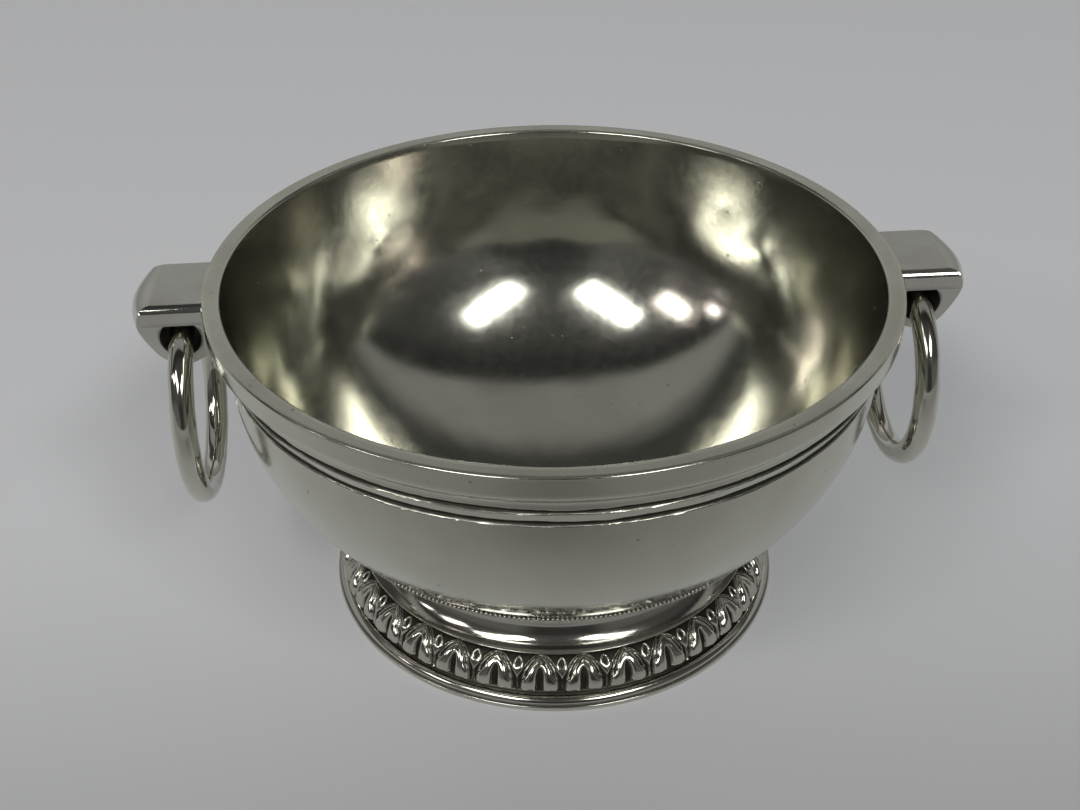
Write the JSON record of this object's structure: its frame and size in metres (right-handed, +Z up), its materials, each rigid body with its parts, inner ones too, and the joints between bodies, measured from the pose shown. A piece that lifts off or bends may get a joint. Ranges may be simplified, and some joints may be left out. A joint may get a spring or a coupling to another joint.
{
  "type": "footed bowl with ring handles",
  "caption": "Round footed pewter bowl with a lug handle on each side, a loose ring hanging in each lug, turned rim grooves and a leaf border round the foot.",
  "frame": {"origin": "centre of the foot, on the plane that the foot stands on", "axes": "+Z up along the bowl's axis, +X through the lug named right, +Y away from the front"},
  "size_m": [0.1518, 0.126, 0.0684],
  "materials": {
    "bowl_pewter": "polished pewter, hand finished, slightly warm grey",
    "lug_pewter": "satin pewter with polished edges",
    "ring_pewter": "bright polished pewter",
    "bead_pewter": "polished pewter beads, dark between",
    "foot_pewter": "bright polished pewter",
    "border_pewter": "polished leaves over dark oxidised recesses"
  },
  "bodies": {
    "bowl_body": {"bowl": "bowl_pewter", "right_lug": "lug_pewter", "left_lug": "lug_pewter", "bead_wire": "bead_pewter", "foot_shell": "foot_pewter", "leaf_border": "border_pewter", "base_rim": "foot_pewter"},
    "right_ring_body": {"right_ring": "ring_pewter"},
    "left_ring_body": {"left_ring": "ring_pewter"}
  },
  "joints": [
    {"name": "right_ring_swing", "type": "hinge", "parent": "bowl_body", "child": "right_ring_body", "pos_m": [0.0671, 0, 0.0612], "axis": [0, -1, 0], "range_deg": [-23.5, 113]},
    {"name": "left_ring_swing", "type": "hinge", "parent": "bowl_body", "child": "left_ring_body", "pos_m": [-0.0671, 0, 0.0612], "axis": [0, 1, 0], "range_deg": [-23.5, 113]}
  ]
}
